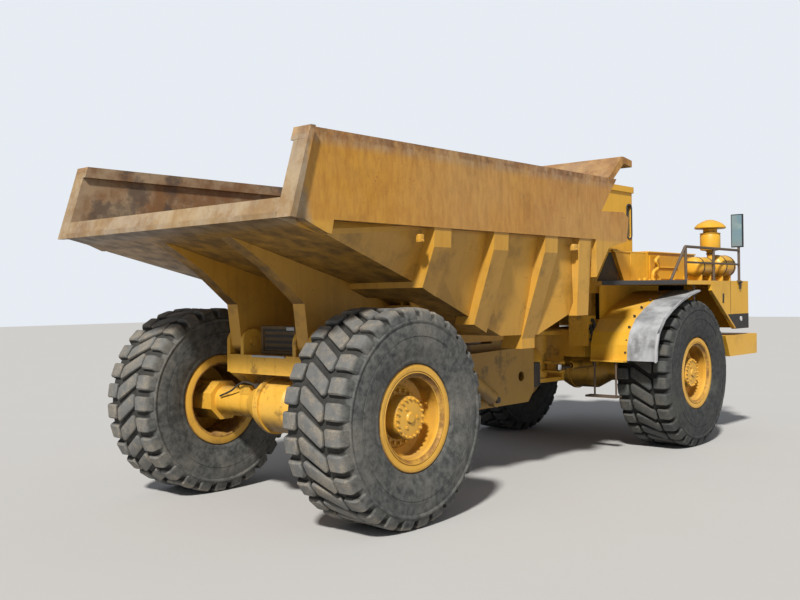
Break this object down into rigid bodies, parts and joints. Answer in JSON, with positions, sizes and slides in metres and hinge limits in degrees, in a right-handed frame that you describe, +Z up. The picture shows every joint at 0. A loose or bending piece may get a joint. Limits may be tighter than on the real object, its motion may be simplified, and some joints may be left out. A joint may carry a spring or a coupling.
{
  "type": "articulated dump truck",
  "caption": "Rigid two-axle articulated hauler with a tipping ribbed bed, steering pivot, swivel joint, cab with door and large rock tyres.",
  "frame": {"origin": "on the ground, below the middle of the truck's length and width", "axes": "+X forward, +Y to the left, +Z up"},
  "size_m": [10.44, 3.88, 4.13],
  "materials": {
    "body_paint": "weathered tan-orange paint, worn to rust on the edges",
    "yellow_paint": "faded yellow paint",
    "dark_steel": "dark oily steel",
    "rod_chrome": "polished rod",
    "tyre_rubber": "dusty dark grey tyre",
    "flap_rubber": "grey faded rubber",
    "black_paint": "black paint",
    "window": "tinted safety glass",
    "lamp_lens": "lamp lens",
    "seat_vinyl": "black vinyl and plastic"
  },
  "bodies": {
    "tractor": {"tractor_frame": "yellow_paint", "pivot_bracket": "yellow_paint", "steer_pins": "dark_steel", "valve_box": "yellow_paint", "front_bumper": "yellow_paint", "front_axle": "yellow_paint", "engine": "dark_steel", "hood": "yellow_paint", "grille": "black_paint", "lamps": "lamp_lens", "deck_right": "yellow_paint", "deck_left": "yellow_paint", "mudguards": "yellow_paint", "rubber_flaps": "flap_rubber", "steps": "dark_steel", "cab_floor": "yellow_paint", "cab_back": "yellow_paint", "cab_front": "yellow_paint", "cab_right": "yellow_paint", "cab_left": "yellow_paint", "cab_roof": "yellow_paint", "cab_glass": "window", "cab_interior": "seat_vinyl", "air_cleaner": "yellow_paint", "handrails": "black_paint"},
    "cab_door": {"cab_door": "yellow_paint", "door_glass": "window"},
    "wheel_front_right": {"rim_front_right": "yellow_paint", "tyre_front_right": "tyre_rubber"},
    "wheel_front_left": {"rim_front_left": "yellow_paint", "tyre_front_left": "tyre_rubber"},
    "wheel_rear_right": {"rim_rear_right": "yellow_paint", "tyre_rear_right": "tyre_rubber"},
    "wheel_rear_left": {"rim_rear_left": "yellow_paint", "tyre_rear_left": "tyre_rubber"},
    "middle_joint": {"hitch": "yellow_paint"},
    "rear_half": {"rear_frame": "yellow_paint", "frame_panels": "yellow_paint", "hoist_pins": "dark_steel", "accumulators": "dark_steel", "rear_axle": "yellow_paint", "drive_shaft": "dark_steel"},
    "bed": {"bed_floor": "body_paint", "bed_side_right": "body_paint", "bed_side_left": "body_paint", "bed_front": "body_paint", "bed_ribs": "body_paint", "bed_bearers": "body_paint"},
    "steer_barrel_right": {"steer_barrel_right": "dark_steel"},
    "steer_rod_right": {"steer_rod_right": "rod_chrome"},
    "hoist_barrel_right": {"hoist_barrel_right": "dark_steel"},
    "hoist_rod_right": {"hoist_rod_right": "rod_chrome"},
    "steer_barrel_left": {"steer_barrel_left": "dark_steel"},
    "steer_rod_left": {"steer_rod_left": "rod_chrome"},
    "hoist_barrel_left": {"hoist_barrel_left": "dark_steel"},
    "hoist_rod_left": {"hoist_rod_left": "rod_chrome"}
  },
  "joints": [
    {"name": "steering", "type": "hinge", "parent": "tractor", "child": "middle_joint", "pos_m": [1.42, 0, 1.3], "axis": [0, 0, 1], "range_deg": [-42, 42]},
    {"name": "swivel", "type": "hinge", "parent": "middle_joint", "child": "rear_half", "pos_m": [0.92, 0, 1.3], "axis": [1, 0, 0], "range_deg": [-15, 15]},
    {"name": "bed_tip", "type": "hinge", "parent": "rear_half", "child": "bed", "pos_m": [-3.7, 0, 1.8], "axis": [0, -1, 0], "range_deg": [0, 65]},
    {"name": "cab_door_hinge", "type": "hinge", "parent": "tractor", "child": "cab_door", "pos_m": [2.87, 0.828, 3.1], "axis": [0, 0, 1], "range_deg": [-95, 0]},
    {"name": "wheel_front_right_spin", "type": "hinge", "parent": "tractor", "child": "wheel_front_right", "pos_m": [2.88, -1.515, 1.09], "axis": [0, 1, 0], "continuous": true},
    {"name": "wheel_front_left_spin", "type": "hinge", "parent": "tractor", "child": "wheel_front_left", "pos_m": [2.88, 1.515, 1.09], "axis": [0, 1, 0], "continuous": true},
    {"name": "wheel_rear_right_spin", "type": "hinge", "parent": "rear_half", "child": "wheel_rear_right", "pos_m": [-3.58, -1.515, 1.09], "axis": [0, 1, 0], "continuous": true},
    {"name": "wheel_rear_left_spin", "type": "hinge", "parent": "rear_half", "child": "wheel_rear_left", "pos_m": [-3.58, 1.515, 1.09], "axis": [0, 1, 0], "continuous": true},
    {"name": "steer_barrel_right_turn", "type": "hinge", "parent": "tractor", "child": "steer_barrel_right", "pos_m": [2.52, -0.38, 1.215], "axis": [0, 0, 1], "range_deg": [-1.16, 1.16]},
    {"name": "steer_rod_right_slide", "type": "slide", "parent": "steer_barrel_right", "child": "steer_rod_right", "axis": [-0.9998, -0.0182, 0], "range_m": [-0.2679, 0.2679]},
    {"name": "steer_barrel_left_turn", "type": "hinge", "parent": "tractor", "child": "steer_barrel_left", "pos_m": [2.52, 0.38, 1.215], "axis": [0, 0, 1], "range_deg": [-1.16, 1.16]},
    {"name": "steer_rod_left_slide", "type": "slide", "parent": "steer_barrel_left", "child": "steer_rod_left", "axis": [-0.9998, 0.0182, 0], "range_m": [-0.2679, 0.2679]},
    {"name": "hoist_barrel_right_turn", "type": "hinge", "parent": "rear_half", "child": "hoist_barrel_right", "pos_m": [-0.98, -0.95, 0.98], "axis": [0, -1, 0], "range_deg": [-10.81, 0.05]},
    {"name": "hoist_rod_right_slide", "type": "slide", "parent": "hoist_barrel_right", "child": "hoist_rod_right", "axis": [-0.865, 0, 0.5017], "range_m": [-0.001, 1.2421]},
    {"name": "hoist_barrel_left_turn", "type": "hinge", "parent": "rear_half", "child": "hoist_barrel_left", "pos_m": [-0.98, 0.95, 0.98], "axis": [0, -1, 0], "range_deg": [-10.81, 0.05]},
    {"name": "hoist_rod_left_slide", "type": "slide", "parent": "hoist_barrel_left", "child": "hoist_rod_left", "axis": [-0.865, 0, 0.5017], "range_m": [-0.001, 1.2421]}
  ],
  "couplings": [
    {"joint": "steer_barrel_right_turn", "follows": "steering", "ratio": -0.026368},
    {"joint": "steer_rod_right_slide", "follows": "steering", "m_per_rad": -0.36403},
    {"joint": "steer_barrel_left_turn", "follows": "steering", "ratio": -0.026368},
    {"joint": "steer_rod_left_slide", "follows": "steering", "m_per_rad": 0.36403},
    {"joint": "hoist_barrel_right_turn", "follows": "bed_tip", "ratio": -0.16551},
    {"joint": "hoist_rod_right_slide", "follows": "bed_tip", "m_per_rad": 1.094},
    {"joint": "hoist_barrel_left_turn", "follows": "bed_tip", "ratio": -0.16551},
    {"joint": "hoist_rod_left_slide", "follows": "bed_tip", "m_per_rad": 1.094}
  ]
}
